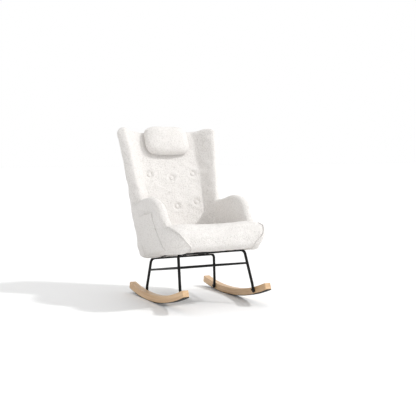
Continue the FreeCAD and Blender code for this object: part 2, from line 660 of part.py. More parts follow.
def wing_section(z, lead, corner, thick):
    """Five corners of a wing at a height: lead is its outer edge, thick runs to the inner one."""
    points = [V(BACK_HALF_WIDTH, rear_plane(z), z), V(lead.x - corner[0], lead.y + corner[1], z),
              V(lead.x, lead.y, z), V(lead.x - thick[0], lead.y - thick[1], z),
              V(BACK_HALF_WIDTH, front_plane(z), z)]
    return Part.makePolygon(points + [points[0]])


wing_leads = (V(outer_x(BELLY_Z), edge_y(BELLY_Z), 0), lead_outer,
              V(SIDE_X + WING_SPREAD, WING_EDGE_Y + WING_SWEEP, 0))
wing_levels = (BELLY_Z, ARM_TOP_Z, WING_TOP_Z)
wing_thicks = ((ARM_THICK, WING_SKEW), (ARM_THICK, WING_SKEW), WING_TOP_THICK)
sections = [wing_section(*row) for row in zip(wing_levels, wing_leads, WING_CORNERS, wing_thicks)]
wing = Part.makeLoft(sections, True, True).common(under_top)
for inner in [frame_space, nodes["seat_side_rail_right"]] + bolt_rooms:
    wing = wing.cut(inner)
add_pair("wing", wing)

# ---------------------------------------------------------------- seat pad and front roll
def pad_top(y):
    return CUSHION_FRONT_Z - PAD_BELOW - CUSHION_FALL * (y - ROLL_BACK_Y)


pad_base = (RAIL_TALL + WEB_THICK) * math.hypot(1, seat_fall)
pad_rear_y = front_plane(CUSHION_FRONT_Z) + ARM_TUCK
pad_outline = [(ROLL_BACK_Y, belly(ROLL_BACK_Y) + pad_base), (ROLL_BACK_Y, pad_top(ROLL_BACK_Y)),
               (pad_rear_y, pad_top(pad_rear_y)), (pad_rear_y, belly(pad_rear_y) + pad_base)]
between_arms = polygon_face([V(sign * (outer_x(z) - ARM_THICK), -600, z) for sign, z in
                             ((-1, 200), (1, 200), (1, 700), (-1, 700))]).extrude(V(0, 1200, 0))
behind_front_plane = side_prism([(front_plane(100), 100), (front_plane(900), 900),
                                 (900, 900), (900, 100)], -400, 400)
seat_pad = side_prism(pad_outline, -400, 400).common(between_arms).cut(behind_front_plane)
for neighbour in (nodes["wing_left"], nodes["wing_right"]):
    seat_pad = seat_pad.cut(neighbour)
nodes["seat_pad"] = seat_pad

joint_base = belly(ROLL_BACK_Y)
rings = []
for ahead, side_points, middle_share in ROLL_ROWS:
    y = ROLL_BACK_Y - ahead
    levels = [joint_base + share * (CUSHION_FRONT_Z - joint_base) for _, share in side_points]
    right = [V(outer_x(z) - inset, y, z) for z, (inset, _) in zip(levels, side_points)]
    left = [V(-p.x, p.y, p.z) for p in reversed(right)]
    middle = V(0, y, joint_base + middle_share * (CUSHION_FRONT_Z - joint_base))
    rings.append(Part.makePolygon(right + [middle] + left + [right[0]]))
nodes["front_roll"] = Part.makeLoft(rings, True, True)

# ---------------------------------------------------------------- headrest
def on_back(shape, anchor, up, out):
    """Place a shape from back coordinates: X across, Y up the slope, Z out of the surface."""
    turn = FreeCAD.Matrix(1, 0, 0, anchor.x, 0, up.y, out.y, anchor.y, 0, up.z, out.z, anchor.z)
    return shape.transformGeometry(turn)


slope = math.hypot(1, BACK_FRONT_LEAN)
strap_top = STRAP_PLAY + STRAP_THICK
pillow_offset = strap_top + SLIDE_PLAY
pillow = Part.makeBox(PILLOW_WIDE, PILLOW_TALL, PILLOW_THICK, V(-PILLOW_WIDE / 2, 0, pillow_offset))
pillow = pillow.makeFillet(PILLOW_ROUND, pillow.Edges)
pillow_anchor = V(0, front_plane(PILLOW_LOW_Z), PILLOW_LOW_Z)
nodes["headrest_pillow"] = on_back(pillow, pillow_anchor, lean_back, forward)

rear_up = V(0, BACK_REAR_LEAN, 1).normalize()
backward = V(0, 1, -BACK_REAR_LEAN).normalize()


def strap_outline(lift):
    """The strap's line over the top edge, lifted off the pad by a given amount."""
    top = TOP_MID_Z + lift
    return [(front_plane(STRAP_FRONT_Z, lift), STRAP_FRONT_Z), (front_plane(top, lift), top),
            (rear_plane(top, -lift), top), (rear_plane(STRAP_REAR_Z, -lift), STRAP_REAR_Z)]


strap_points = strap_outline(strap_top) + list(reversed(strap_outline(STRAP_PLAY)))
nodes["headrest_strap"] = side_prism(strap_points, -STRAP_WIDE / 2, STRAP_WIDE / 2)

pouch = Part.makeBox(POUCH_WIDE, POUCH_TALL, POUCH_THICK, V(-POUCH_WIDE / 2, 0, pillow_offset))
pouch = pouch.makeFillet(POUCH_THICK / 3, pouch.Edges)
bar_base = (POUCH_TALL - BAR_TALL) / 2
bar_depth = pillow_offset + (POUCH_THICK - BAR_THICK) / 2
bar = Part.makeBox(BAR_WIDE, BAR_TALL, BAR_THICK, V(-BAR_WIDE / 2, bar_base, bar_depth))
bar_slot = Part.makeBox(BAR_WIDE, POUCH_TALL, BAR_THICK, V(-BAR_WIDE / 2, bar_base, bar_depth))
pouch_anchor = V(0, rear_plane(POUCH_LOW_Z), POUCH_LOW_Z)
nodes["counterweight_pouch"] = on_back(pouch.cut(bar_slot), pouch_anchor, rear_up, backward)
nodes["counterweight_bar"] = on_back(bar, pouch_anchor, rear_up, backward)

# ---------------------------------------------------------------- write the parts
whole = Part.makeCompound(list(nodes.values())).optimalBoundingBox(False, False)
to_origin = V(0, -(whole.YMin + whole.YMax) / 2, 0)
os.makedirs("parts", exist_ok=True)
for name, shape in nodes.items():
    shape.translate(to_origin)
    shape.exportStep("parts/" + name + ".step")
print("nodes", len(nodes), "depth shift", round(to_origin.y, 3), "box",
      [round(v, 1) for v in (whole.XLength, whole.YLength, whole.ZLength)])
for name, shape in sorted(nodes.items()):
    if not shape.isValid() or not shape.Solids:
        print("check", name, shape.isValid(), len(shape.Solids))
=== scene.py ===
"""Looks for the rocking nursery chair: boucle upholstery, beech runners and black steel tube."""
import json
import math

import bmesh
import bpy
import numpy as np
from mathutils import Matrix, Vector
from mathutils.bvhtree import BVHTree


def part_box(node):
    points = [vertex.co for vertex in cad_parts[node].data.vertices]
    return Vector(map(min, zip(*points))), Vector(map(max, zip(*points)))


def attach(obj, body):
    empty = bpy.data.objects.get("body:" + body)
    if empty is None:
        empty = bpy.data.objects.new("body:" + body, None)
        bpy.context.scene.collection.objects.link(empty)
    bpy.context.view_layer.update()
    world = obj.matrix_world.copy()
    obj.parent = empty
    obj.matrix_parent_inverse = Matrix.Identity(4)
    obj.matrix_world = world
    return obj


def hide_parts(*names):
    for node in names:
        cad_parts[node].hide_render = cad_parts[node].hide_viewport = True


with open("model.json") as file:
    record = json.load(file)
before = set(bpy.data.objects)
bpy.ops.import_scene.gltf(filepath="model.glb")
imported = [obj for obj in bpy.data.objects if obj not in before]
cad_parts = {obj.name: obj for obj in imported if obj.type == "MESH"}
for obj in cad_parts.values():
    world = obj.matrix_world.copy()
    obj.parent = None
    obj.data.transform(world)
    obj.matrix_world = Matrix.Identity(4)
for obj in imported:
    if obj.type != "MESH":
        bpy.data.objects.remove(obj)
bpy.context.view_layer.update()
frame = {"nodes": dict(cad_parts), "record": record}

scene = bpy.context.scene
nodes = frame["nodes"]

# ------------------------------------------------------------------ places read from the frame
record = frame["record"]
CONTACT_Y = record["mounts"][0]["pos_m"][1]        # where the runners touch the floor
ROCK_RADIUS = 1.356                                    # of the runners' undersides
slides = {row["name"]: Vector(row["axis"]) for row in record["behaviour"]["joints"]}
back_up = slides["headrest_slide"].normalized()        # up the back's front plane
back_out = Vector((0, -back_up.z, back_up.y))
rear_up = slides["counterweight_slide"].normalized()   # up the back's rear plane
rear_out = Vector((0, rear_up.z, -rear_up.y))
RAIL_LINE = (-0.302, 0.307)                            # depth and height of the seat frame's front
SEAT_FALL = 0.1855                                     # its fall per metre to the rear
SIDE_LEAN = 0.13                                       # outward lean of the chair's sides
PUFF_FRAMES = 20                                       # how long a cover swells in the cloth runs

# ------------------------------------------------------------------ mesh tools
def arrays(mesh):
    """Vertex positions and edges of a mesh as arrays."""
    points = np.empty(len(mesh.vertices) * 3)
    mesh.vertices.foreach_get("co", points)
    edges = np.empty(len(mesh.edges) * 2, np.int32)
    mesh.edges.foreach_get("vertices", edges)
    return points.reshape(-1, 3), edges.reshape(-1, 2)


def store(mesh, points):
    mesh.vertices.foreach_set("co", np.ascontiguousarray(points, dtype=np.float32).ravel())
    mesh.update()


def normals_of(mesh):
    found = np.empty(len(mesh.vertices) * 3)
    mesh.vertices.foreach_get("normal", found)
    return found.reshape(-1, 3)


def neighbours_mean(points, edges):
    total = np.zeros_like(points)
    count = np.bincount(edges.ravel(), minlength=len(points))[:, None]
    for axis in range(3):
        total[:, axis] += np.bincount(edges[:, 0], points[edges[:, 1], axis], len(points))
        total[:, axis] += np.bincount(edges[:, 1], points[edges[:, 0], axis], len(points))
    return total / np.maximum(count, 1)


def new_object(name, mesh):
    obj = bpy.data.objects.new(name, mesh)
    scene.collection.objects.link(obj)
    return obj


def applied(obj):
    """Replace an object's mesh with its evaluated one, and drop its modifiers."""
    graph = bpy.context.evaluated_depsgraph_get()
    mesh = bpy.data.meshes.new_from_object(obj.evaluated_get(graph))
    obj.modifiers.clear()
    obj.data = mesh
    return obj


def joined_copy(name, *members):
    """One new object from copies of several CAD nodes."""
    work = bmesh.new()
    for member in members:
        work.from_mesh(nodes[member].data)
    mesh = bpy.data.meshes.new(name)
    work.to_mesh(mesh)
    work.free()
    mesh.materials.clear()
    return new_object(name, mesh)


def loose_parts(work):
    """The vertices of each separate part of a bmesh."""
    left, parts = set(work.verts), []
    while left:
        seed = left.pop()
        part, queue = [seed], [seed]
        while queue:
            for edge in queue.pop().link_edges:
                for vert in edge.verts:
                    if vert in left:
                        left.remove(vert)
                        part.append(vert)
                        queue.append(vert)
        parts.append(part)
    return parts


def outer_only(obj):
    """Delete every loose part but the largest, such as the skin of an inner hollow."""
    work = bmesh.new()
    work.from_mesh(obj.data)
    for part in sorted(loose_parts(work), key=len)[:-1]:
        bmesh.ops.delete(work, geom=part, context="VERTS")
    work.to_mesh(obj.data)
    work.free()


def remeshed(obj, voxel):
    step = obj.modifiers.new("remesh", "REMESH")
    step.mode = "VOXEL"
    step.voxel_size = voxel
    applied(obj)
    outer_only(obj)
    return obj


def subdivided(obj):
    step = obj.modifiers.new("subdivide", "SUBSURF")
    step.levels = step.render_levels = 1
    return applied(obj)


def puffed(obj, pressure, cap):
    """Let the cover swell with Blender's cloth, then hold each point within cap of where it was."""
    before, _ = arrays(obj.data)
    cloth = obj.modifiers.new("cloth", "CLOTH")
    settings = cloth.settings
    settings.quality = 5
    settings.mass = 0.4
    settings.tension_stiffness = 22
    settings.compression_stiffness = 22
    settings.shear_stiffness = 8
    settings.bending_stiffness = 1.2
    settings.use_pressure = True
    settings.uniform_pressure_force = pressure
    settings.effector_weights.gravity = 0
    cloth.collision_settings.use_collision = False
    cloth.point_cache.frame_end = PUFF_FRAMES
    for frame_number in range(1, PUFF_FRAMES + 1):
        scene.frame_set(frame_number)
    applied(obj)
    after, _ = arrays(obj.data)
    move = after - before
    length = np.linalg.norm(move, axis=1, keepdims=True)
    after = before + move * np.minimum(1, cap / np.maximum(length, 1e-9))
    store(obj.data, after)
    scene.frame_set(1)
    return obj


def shade_smooth(obj):
    obj.data.polygons.foreach_set("use_smooth", [True] * len(obj.data.polygons))
    obj.data.update()


def grain(points, scale, seed):
    """Smooth noise from a few random waves, about 0 with a size near 1."""
    wave = np.random.default_rng(seed)
    total = np.zeros(len(points))
    for _ in range(14):
        direction = wave.normal(size=3)
        direction *= scale * wave.uniform(0.6, 1.5) / np.linalg.norm(direction)
        total += np.sin(points @ direction + wave.uniform(0, 2 * math.pi))
    return total / math.sqrt(7)


# ------------------------------------------------------------------ materials
class Shader:
    """Short-hand for building a material's nodes."""

    def __init__(self, name):
        self.material = bpy.data.materials.new(name)
        self.material.use_nodes = True
        self.tree = self.material.node_tree
        self.surface = self.tree.nodes["Principled BSDF"]

    def add(self, kind, **values):
        node = self.tree.nodes.new(kind)
        for key, value in values.items():
            if key in node.inputs:
                node.inputs[key].default_value = value
            else:
                setattr(node, key, value)
        return node

    def link(self, out, into):
        self.tree.links.new(out, into)

    def set(self, **values):
        for key, value in values.items():
            self.surface.inputs[key.replace("_", " ")].default_value = value

    def place(self):
        return self.add("ShaderNodeTexCoord").outputs["Object"]

    def stretched(self, vector, scale):
        mapping = self.add("ShaderNodeMapping")
        mapping.inputs["Scale"].default_value = scale
        self.link(vector, mapping.inputs["Vector"])
        return mapping.outputs["Vector"]

    def noise(self, vector, scale, detail=2.0, roughness=0.5, distortion=0.0):
        node = self.add("ShaderNodeTexNoise", Scale=scale, Detail=detail, Roughness=roughness,
                        Distortion=distortion)
        self.link(vector, node.inputs["Vector"])
        return node.outputs["Fac"]

    def math(self, operation, first, second=None):
        node = self.add("ShaderNodeMath", operation=operation)
        for index, value in enumerate((first, second)):
            if value is None:
                continue
            if isinstance(value, (int, float)):
                node.inputs[index].default_value = value
            else:
                self.link(value, node.inputs[index])
        return node.outputs[0]

    def ramp(self, value, stops):
        node = self.add("ShaderNodeValToRGB")
        elements = node.color_ramp.elements
        while len(elements) < len(stops):
            elements.new(0.5)
        for element, (position, colour) in zip(elements, stops):
            element.position = position
            element.color = (*colour, 1)
        self.link(value, node.inputs["Fac"])
        return node.outputs["Color"]

    def bump(self, height, distance, strength=1.0):
        node = self.add("ShaderNodeBump", Distance=distance, Strength=strength)
        self.link(height, node.inputs["Height"])
        self.link(node.outputs["Normal"], self.surface.inputs["Normal"])


def boucle(name, light, shade, nub=0.0062):
    """Looped-yarn cloth: soft round nubs of uneven size, with shade painted into the colour of the
    pits between them.
    """
    s = Shader(name)
    place = s.place()
    wobble = s.add("ShaderNodeTexNoise", Scale=0.3 / nub, Detail=2.0)
    s.link(place, wobble.inputs["Vector"])
    shift = s.add("ShaderNodeVectorMath", operation="MULTIPLY_ADD")
    s.link(wobble.outputs["Color"], shift.inputs[0])
    shift.inputs[1].default_value = (nub * 1.8,) * 3
    s.link(place, shift.inputs[2])
    warped = shift.outputs["Vector"]
    cells = s.add("ShaderNodeTexVoronoi", feature="SMOOTH_F1", Scale=1 / nub, Smoothness=0.4)
    s.link(warped, cells.inputs["Vector"])
    loops = s.add("ShaderNodeTexVoronoi", feature="F1", Scale=2.4 / nub)
    s.link(warped, loops.inputs["Vector"])
    fuzz = s.noise(place, 5.5 / nub, 3.0, 0.7)
    clump = s.noise(warped, 0.6 / nub, 1.0, 0.5)
    height = s.math("SUBTRACT", 0.8, cells.outputs["Distance"])
    height = s.math("ADD", height, s.math("MULTIPLY", loops.outputs["Distance"], -0.30))
    height = s.math("ADD", height, s.math("MULTIPLY", fuzz, 0.30))
    height = s.math("ADD", height, s.math("MULTIPLY", clump, 0.7))
    # Painted shade: the pits between the nubs take the darker colour; the fuzz and the clumps add
    # random tone.
    colour = s.ramp(height, [(0.05, shade), (0.85, light)])
    s.link(colour, s.surface.inputs["Base Color"])
    s.bump(height, nub * 0.62, 1.0)
    s.set(Roughness=0.95, Sheen_Weight=0.30, Sheen_Roughness=0.5)
    s.surface.inputs["Specular IOR Level"].default_value = 0.12
    return s.material


def beech(name):
    """Bent beech: straight fine grain that follows the runner, with short flecks."""
    s = Shader(name)
    split = s.add("ShaderNodeSeparateXYZ")
    s.link(s.place(), split.inputs[0])
    level = s.math("SUBTRACT", split.outputs["Z"], ROCK_RADIUS)
    along = s.math("SUBTRACT", split.outputs["Y"], CONTACT_Y)
    radius = s.math("SQRT", s.math("ADD", s.math("MULTIPLY", level, level),
                                   s.math("MULTIPLY", along, along)))
    angle = s.math("ARCTAN2", along, s.math("MULTIPLY", level, -1.0))
    bent = s.add("ShaderNodeCombineXYZ")
    s.link(split.outputs["X"], bent.inputs[0])
    s.link(s.math("MULTIPLY", angle, ROCK_RADIUS), bent.inputs[1])
    s.link(radius, bent.inputs[2])
    vector = bent.outputs[0]
    broad = s.noise(s.stretched(vector, (26, 2.2, 26)), 1.0, 3.0, 0.55, 0.6)
    lines = s.noise(s.stretched(vector, (210, 5, 210)), 1.0, 3.0, 0.6, 0.3)
    flecks = s.noise(s.stretched(vector, (520, 70, 900)), 1.0, 1.0, 0.5)
    fleck = s.ramp(flecks, [(0.60, (1, 1, 1)), (0.74, (0.72, 0.72, 0.72))])
    mixed = s.math("ADD", s.math("MULTIPLY", broad, 0.62), s.math("MULTIPLY", lines, 0.38))
    colour = s.ramp(mixed, [(0.30, (0.47, 0.27, 0.135)), (0.46, (0.62, 0.40, 0.215)),
                            (0.58, (0.71, 0.485, 0.285)), (0.74, (0.77, 0.56, 0.355))])
    tint = s.add("ShaderNodeMix", data_type="RGBA", blend_type="MULTIPLY")
    tint.inputs["Factor"].default_value = 0.5
    s.link(colour, tint.inputs["A"])
    s.link(fleck, tint.inputs["B"])
    s.link(tint.outputs["Result"], s.surface.inputs["Base Color"])
    rough = s.ramp(lines, [(0.3, (0.40,) * 3), (0.7, (0.54,) * 3)])
    s.link(rough, s.surface.inputs["Roughness"])
    s.bump(s.math("ADD", lines, s.math("MULTIPLY", flecks, 0.6)), 0.0004, 0.5)
    s.surface.inputs["Coat Weight"].default_value = 0.15
    s.surface.inputs["Coat Roughness"].default_value = 0.35
    return s.material


def powder_coat(name):
    """Satin black powder coat: a faint orange-peel ripple and dusty high spots."""
    s = Shader(name)
    place = s.place()
    peel = s.noise(place, 900.0, 2.0, 0.5)
    cloud = s.noise(place, 22.0, 4.0, 0.6)
    colour = s.ramp(cloud, [(0.35, (0.004, 0.004, 0.004)), (0.7, (0.008, 0.008, 0.008))])
    s.link(colour, s.surface.inputs["Base Color"])
    s.link(s.ramp(cloud, [(0.3, (0.34,) * 3), (0.75, (0.47,) * 3)]), s.surface.inputs["Roughness"])
    s.bump(peel, 0.00025, 0.6)
    s.surface.inputs["Specular IOR Level"].default_value = 0.22
    return s.material


def plated(name):
    """Zinc-plated steel with drawn-out scratches."""
    s = Shader(name)
    place = s.place()
    scratch = s.noise(s.stretched(place, (900, 120, 900)), 1.0, 2.0, 0.6)
    colour = s.ramp(scratch, [(0.35, (0.42, 0.43, 0.45)), (0.65, (0.62, 0.63, 0.64))])
    s.link(colour, s.surface.inputs["Base Color"])
    s.link(s.ramp(scratch, [(0.3, (0.28,) * 3), (0.7, (0.45,) * 3)]), s.surface.inputs["Roughness"])
    s.bump(scratch, 0.0002, 0.4)
    s.surface.inputs["Metallic"].default_value = 1.0
    return s.material


def ribbed_rubber(name):
    """Black anti-slip rubber with fine cross ribs and a chalky bloom."""
    s = Shader(name)
    place = s.place()
    ribs = s.add("ShaderNodeTexWave", wave_type="BANDS", bands_direction="Y", Scale=75.0,
                 Distortion=0.3)
    s.link(place, ribs.inputs["Vector"])
    bloom = s.noise(place, 60.0, 4.0, 0.65)
    colour = s.ramp(bloom, [(0.35, (0.014, 0.014, 0.014)), (0.75, (0.036, 0.035, 0.034))])
    s.link(colour, s.surface.inputs["Base Color"])
    s.bump(ribs.outputs["Fac"], 0.0006, 0.7)
    s.set(Roughness=0.86)
    return s.material


def woven(name, light, shade, pitch):
    """Plain weave, for webbing, the strap and the dust cover."""
    s = Shader(name)
    place = s.place()
    threads = 0.0
    for direction in "XYZ":
        wave = s.add("ShaderNodeTexWave", wave_type="BANDS", bands_direction=direction,
                     Scale=0.16 / pitch, Distortion=0.4)
        s.link(place, wave.inputs["Vector"])
        threads = s.math("MAXIMUM", wave.outputs["Fac"], threads)
    fuzz = s.noise(place, 700.0, 3.0, 0.7)
    height = s.math("ADD", threads, s.math("MULTIPLY", fuzz, 0.4))
    # Painted shade: the colour darkens between the threads, with random tone from the fuzz.
    colour = s.ramp(s.math("MULTIPLY", height, 0.75), [(0.3, shade), (0.8, light)])
    s.link(colour, s.surface.inputs["Base Color"])
    s.bump(height, pitch * 0.25, 0.7)
    s.set(Roughness=0.9, Sheen_Weight=0.1)
    return s.material


def inner_timber(name):
    """Sawn pine for the hidden frame."""
    s = Shader(name)
    place = s.place()
    bands = s.noise(s.stretched(place, (14, 14, 60)), 1.0, 4.0, 0.6, 0.8)
    saw = s.noise(s.stretched(place, (300, 40, 300)), 1.0, 2.0, 0.5)
    colour = s.ramp(bands, [(0.3, (0.50, 0.33, 0.17)), (0.7, (0.72, 0.53, 0.32))])
    s.link(colour, s.surface.inputs["Base Color"])
    s.bump(saw, 0.0006, 0.6)
    s.set(Roughness=0.72)
    return s.material


CREAM = (0.915, 0.888, 0.860)
# The darker cream is painted shade for the pits between the nubs.
CREAM_PAINTED_PIT_SHADE = (0.745, 0.715, 0.686)
cloth_main = boucle("boucle_cloth", CREAM, CREAM_PAINTED_PIT_SHADE)
cloth_piping = boucle("boucle_piping", CREAM, CREAM_PAINTED_PIT_SHADE, 0.0040)
slot_materials = {
    "beech": beech("beech_wood"),
    "black_steel": powder_coat("black_powder_coat"),
    "bolt_steel": powder_coat("black_oxide"),
    "black_strip": ribbed_rubber("grip_rubber"),
    "zinc_steel": plated("zinc_plate"),
    "inner_timber": inner_timber("pine_frame"),
    # The second colour of each weave is painted shade between its threads.
    "black_cloth": woven("black_lining", (0.05, 0.05, 0.052), (0.012, 0.012, 0.013), 0.0016),
    "strap_cloth": woven("strap_tape", (0.80, 0.77, 0.72), (0.52, 0.49, 0.45), 0.0014),
    "boucle": cloth_main,
}
node_slot = {row["node"]: row["material_slot"] for row in record["subparts"]}
for node_name, node in nodes.items():
    node.data.materials.clear()
    node.data.materials.append(slot_materials[node_slot[node_name]])


def finish_piece(obj, body, slot, material=None, stands_for=()):
    """Material, body and bookkeeping for one finished piece."""
    obj.data.materials.clear()
    obj.data.materials.append(material or slot_materials[slot])
    if obj.type == "MESH":
        shade_smooth(obj)
    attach(obj, body)
    if stands_for:
        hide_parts(*stands_for)
    return obj


# ------------------------------------------------------------------ shaping tools
def surface_of(obj):
    """A tree for finding places on a mesh's surface."""
    work = bmesh.new()
    work.from_mesh(obj.data)
    tree = BVHTree.FromBMesh(work)
    work.free()
    return tree


def snapped(tree, point, proud=0.0):
    """The nearest place on a surface, lifted off it along its normal."""
    place, normal, _, _ = tree.find_nearest(Vector(point))
    return place + normal * proud


def soften(obj, rounds, hollow=None):
    """Round outward corners. hollow says how much each vertex may fill in where it is hollow."""
    points, edges = arrays(obj.data)
    for turn in range(rounds):
        if turn % 6 == 0:
            store(obj.data, points)
            normals = normals_of(obj.data)
        step = 0.5 * (neighbours_mean(points, edges) - points)
        if hollow is not None:
            filling = (step * normals).sum(1) > 0
            step *= np.where(filling, hollow, 1.0)[:, None]
        points += step
    store(obj.data, points)


def push(obj, amounts):
    """Move each vertex along its normal."""
    points, _ = arrays(obj.data)
    store(obj.data, points + normals_of(obj.data) * amounts[:, None])


def loose_centres(node):
    """The middle of each separate solid in a CAD node."""
    work = bmesh.new()
    work.from_mesh(nodes[node].data)
    bmesh.ops.remove_doubles(work, verts=work.verts, dist=1e-6)
    centres = [sum((vert.co for vert in part), Vector()) / len(part) for part in loose_parts(work)]
    work.free()
    return centres


def block_of(node, up, out):
    """Centre and half sizes of a CAD node measured along X, up and out."""
    points, _ = arrays(nodes[node].data)
    axes = np.array([(1, 0, 0), tuple(up), tuple(out)])
    local = points @ axes.T
    low, high = local.min(0), local.max(0)
    return Vector((low + high) / 2 @ axes), (high - low) / 2


def ramp_between(value, low, high):
    share = np.clip((value - low) / (high - low), 0, 1)
    return share * share * (3 - 2 * share)


def line_mesh(name, points, radius, closed=False, sides=10):
    """A round cord of cloth through points, for piping and hems."""
    curve = bpy.data.curves.new(name, "CURVE")
    curve.dimensions = "3D"
    spline = curve.splines.new("POLY")
    spline.points.add(len(points) - 1)
    for target, point in zip(spline.points, points):
        target.co = (*point, 1)
    spline.use_cyclic_u = closed
    curve.bevel_depth = radius
    curve.bevel_resolution = sides // 2
    curve.use_fill_caps = True
    holder = bpy.data.objects.new(name, curve)
    scene.collection.objects.link(holder)
    graph = bpy.context.evaluated_depsgraph_get()
    mesh = bpy.data.meshes.new_from_object(holder.evaluated_get(graph))
    bpy.data.objects.remove(holder)
    return new_object(name, mesh)


def through(points, count):
    """Points spaced evenly along a smooth line through a few given ones."""
    points = [Vector(p) for p in points]
    ends = [2 * points[0] - points[1], *points, 2 * points[-1] - points[-2]]
    fine = []
    for a, b, c, d in zip(ends, ends[1:], ends[2:], ends[3:]):
        for t in np.linspace(0, 1, 16, endpoint=False):
            fine.append(0.5 * (2 * b + (c - a) * t + (2 * a - 5 * b + 4 * c - d) * t ** 2
                               + (3 * b - a - 3 * c + d) * t ** 3))
    fine.append(points[-1])
    gaps = [(q - p).length for p, q in zip(fine, fine[1:])]
    along = np.concatenate([[0], np.cumsum(gaps)])
    spots = np.linspace(0, along[-1], count)
    coords = np.array([tuple(p) for p in fine])
    return [Vector(tuple(np.interp(s, along, coords[:, k]) for k in range(3))) for s in spots]


def grid_mesh(name, rows):
    """A sheet from rows of points, all rows of one length."""
    wide = len(rows[0])
    verts = [tuple(p) for row in rows for p in row]
    faces = [(r * wide + c, r * wide + c + 1, (r + 1) * wide + c + 1, (r + 1) * wide + c)
             for r in range(len(rows) - 1) for c in range(wide - 1)]
    mesh = bpy.data.meshes.new(name)
    mesh.from_pydata(verts, [], faces)
    mesh.update()
    return new_object(name, mesh)


def thickened(obj, thickness, offset=0.0):
    step = obj.modifiers.new("thickness", "SOLIDIFY")
    step.thickness = thickness
    step.offset = offset
    return applied(obj)


# ------------------------------------------------------------------ the shell: back, wings, arms
roll_low, roll_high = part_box("front_roll")
lining_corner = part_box("dust_cover")[1]
SHELL_VOXEL = 0.0055
SHELL_ROUNDS = 34
ARM_CREASE_Z = 0.62            # below this the arms meet the back in creases
PUFF = 0.003                   # swell of the padding, and the further swell of its fuller parts
ARM_PUFF = END_PUFF = EAR_PUFF = 0.006
ARM_TOP = (0.60, 0.64)         # heights and distances aside over which each part's swell changes
ARM_INNER = (0.20, 0.24)
EAR_RISE = (0.72, 0.95)
EAR_INNER = (0.22, 0.27)
SWELL_START = (0.26, 0.32)
UNDER_PROUD = 0.0028           # the cloth wraps under the timber frame
LOW_EDGE_PROUD = 0.008         # the cloth is folded thick over the lower rear edge
LOW_EDGE_TOP = (0.29, 0.34)
LOW_EDGE_FRONT = 0.10
LINING_GAP = 0.002
shell_nodes = ["back_pad", "rear_panel", "wing_left", "wing_right", "arm_left", "arm_right"]
filler = ["arm_board_left", "arm_board_right", "front_roll", "back_post_left", "back_post_right",
          "back_top_rail", "back_low_rail", "seat_side_rail_left", "seat_side_rail_right",
          "seat_rear_rail", "seat_front_rail", "tufting_buttons"]


def padding_swell(points, normals):
    """How far the padding of the back, wings and arms stands off the plain solids."""
    aside, height = np.abs(points[:, 0]), points[:, 2]
    outward = normals[:, 0] * np.sign(points[:, 0])
    on_arm = (1 - ramp_between(height, *ARM_TOP)) * ramp_between(aside, *ARM_INNER)
    on_ear = ramp_between(height, *EAR_RISE) * ramp_between(aside, *EAR_INNER)
    on_ear *= np.clip(0.5 - outward, 0, 1)
    on_end = ((points[:, 1] < roll_high.y) & (aside > 0.15)) * np.clip(1.4 * outward, 0, 1)
    swell = PUFF + ARM_PUFF * on_arm + EAR_PUFF * on_ear + END_PUFF * on_end
    return swell * ramp_between(height, *SWELL_START) * (1 - 0.5 * np.clip(normals[:, 2], 0, 1))


def hem_swell(points, normals):
    """How far the cloth stands off along the lower edge. It ends beside the black lining."""
    low_edge = (1 - ramp_between(points[:, 2], *LOW_EDGE_TOP)) * (points[:, 1] > LOW_EDGE_FRONT)
    under = (normals[:, 2] < -0.6) & (points[:, 2] < LOW_EDGE_TOP[1])
    over_lining = (under & (np.abs(points[:, 0]) < lining_corner.x + LINING_GAP)
                   & (points[:, 1] < lining_corner.y + LINING_GAP))
    return (np.maximum(UNDER_PROUD * under, LOW_EDGE_PROUD * low_edge) * ~over_lining
            - 2 * UNDER_PROUD * over_lining)


shell = remeshed(joined_copy("upholstered_shell", *shell_nodes, *filler), SHELL_VOXEL)
heights = arrays(shell.data)[0][:, 2]
soften(shell, SHELL_ROUNDS,
       hollow=0.03 + 0.97 * ramp_between(heights, ARM_CREASE_Z, ARM_CREASE_Z + 0.10))
points, _ = arrays(shell.data)
normals = normals_of(shell.data)
push(shell, padding_swell(points, normals) + hem_swell(points, normals)
     + 0.0012 * grain(points, 45, 3) + 0.0007 * grain(points, 110, 4))

button_places = loose_centres("tufting_buttons")
DIMPLE_DEEP = 0.0095
DIMPLE_R = 0.0215
SWELL_TALL = 0.0018            # the ring of padding that swells round each dimple
SWELL_R = 0.038
SWELL_WIDE = 0.014
DIMPLE_FINE = 0.045            # the faces this near a button are split finer


def dimpled(obj, places, out):
    """Pull the padding in around each button, with a slight swell beyond."""
    points, _ = arrays(obj.data)
    normals = normals_of(obj.data)
    facing = normals @ np.array(out) > 0.5
    for place in places:
        away = points - np.array(place)
        height = away @ np.array(out)
        across = np.linalg.norm(away - height[:, None] * np.array(out), axis=1)
        near = facing & (np.abs(height) < 0.05)
        pull = -DIMPLE_DEEP * np.exp(-(across / DIMPLE_R) ** 4)
        swell = SWELL_TALL * np.exp(-((across - SWELL_R) / SWELL_WIDE) ** 2)
        points += np.array(out) * (near * (pull + swell))[:, None]
    store(obj.data, points)


def refined(obj, places, reach):
    """Split the faces near some places, so that small shapes can be pressed into them."""
    work = bmesh.new()
    work.from_mesh(obj.data)
    near = [e for e in work.edges
            if any((e.verts[0].co - place).length < reach for place in places)]
    bmesh.ops.subdivide_edges(work, edges=near, cuts=2, use_grid_fill=True)
    bmesh.ops.triangulate(work, faces=[f for f in work.faces if len(f.verts) > 4])
    work.to_mesh(obj.data)
    work.free()


refined(shell, button_places, DIMPLE_FINE)
dimpled(shell, button_places, back_out)
finish_piece(shell, "chair", "boucle", stands_for=shell_nodes)
shell_surface = surface_of(shell)


